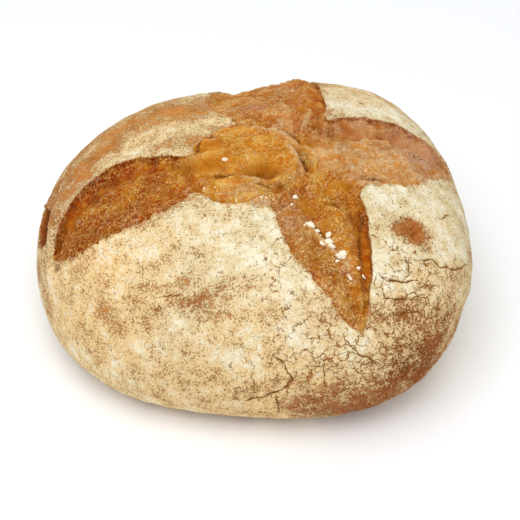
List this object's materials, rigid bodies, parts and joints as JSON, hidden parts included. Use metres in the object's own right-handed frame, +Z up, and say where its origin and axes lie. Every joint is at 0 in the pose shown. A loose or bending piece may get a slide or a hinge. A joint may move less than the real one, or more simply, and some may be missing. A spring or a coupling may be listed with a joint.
{
  "type": "round loaf",
  "caption": "Round farmhouse loaf of bread, dusted with flour, its top torn open in a star around a pinched and dimpled knob of dough.",
  "frame": {"origin": "middle of the loaf's outline, on the flat base that it stands on", "axes": "+Z up through the torn top, +X along the loaf's longer side, to the right in the picture, +Y towards the back"},
  "size_m": [0.2619, 0.2327, 0.1214],
  "materials": {
    "crust": "dry baked bread crust, brown where the dough tore and dusted with pale flour elsewhere"
  },
  "bodies": {
    "root": {"loaf": "crust"}
  },
  "joints": []
}
